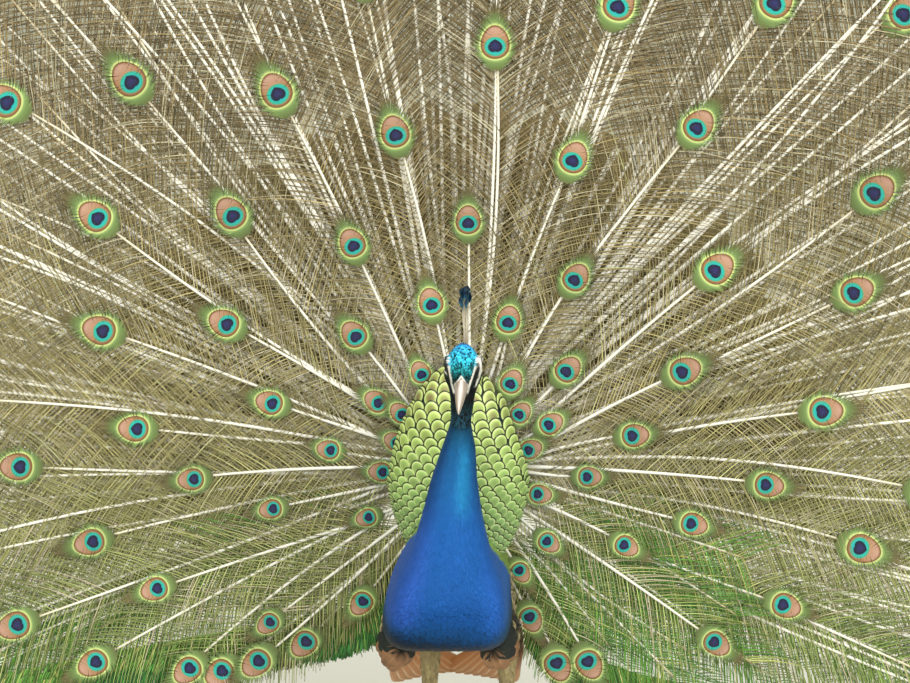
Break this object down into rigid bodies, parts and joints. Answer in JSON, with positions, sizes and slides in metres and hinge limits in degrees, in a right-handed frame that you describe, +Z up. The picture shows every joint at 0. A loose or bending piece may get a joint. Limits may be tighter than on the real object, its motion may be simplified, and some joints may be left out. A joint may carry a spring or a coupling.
{
  "type": "peacock in display, still model",
  "caption": "Life-size still model of a male Indian peafowl standing in display, its eyed train raised in a fan behind the body.",
  "frame": {"origin": "on the floor, under the middle of the whole model", "axes": "+Z up; the bird faces -Y; its left side, and so the picture's right, is +X"},
  "size_m": [1.8352, 0.3938, 1.5005],
  "materials": {
    "crown": "short glossy feathers",
    "neck": "close glossy blue feathers",
    "belly": "soft dark feathers",
    "eye": "wet dark brown",
    "bill": "smooth pale horn",
    "crest": "bare pale shafts with blue tips",
    "wing": "barred feathers",
    "flight_feather": "rufous feathers",
    "thigh": "soft buff feathers",
    "leg": "scaled skin",
    "claw": "dark horn",
    "back_scales": "glossy green scale feathers",
    "train": "loose bronze-green barbs on pale shafts",
    "tail": "plain brown feathers"
  },
  "bodies": {
    "root": {"back_scales": "back_scales", "bill_lower": "bill", "bill_upper": "bill", "claw_left_hind": "claw", "claw_left_inner": "claw", "claw_left_middle": "claw", "claw_left_outer": "claw", "claw_right_hind": "claw", "claw_right_inner": "claw", "claw_right_middle": "claw", "claw_right_outer": "claw", "crest": "crest", "eye_left": "eye", "eye_right": "eye", "head": "crown", "neck_lower": "neck", "neck_upper": "neck", "primaries_left": "flight_feather", "primaries_right": "flight_feather", "rump": "belly", "shank_left": "leg", "shank_right": "leg", "spur_left": "claw", "spur_right": "claw", "tail": "tail", "thigh_left": "thigh", "thigh_right": "thigh", "toe_left_hind": "leg", "toe_left_inner": "leg", "toe_left_middle": "leg", "toe_left_outer": "leg", "toe_right_hind": "leg", "toe_right_inner": "leg", "toe_right_middle": "leg", "toe_right_outer": "leg", "train_long_1": "train", "train_long_10": "train", "train_long_11": "train", "train_long_2": "train", "train_long_3": "train", "train_long_4": "train", "train_long_5": "train", "train_long_6": "train", "train_long_7": "train", "train_long_8": "train", "train_long_9": "train", "train_short_1": "train", "train_short_2": "train", "train_short_3": "train", "train_short_4": "train", "train_short_5": "train", "train_short_6": "train", "train_short_7": "train", "trunk": "belly", "wing_left": "wing", "wing_right": "wing"}
  },
  "joints": []
}
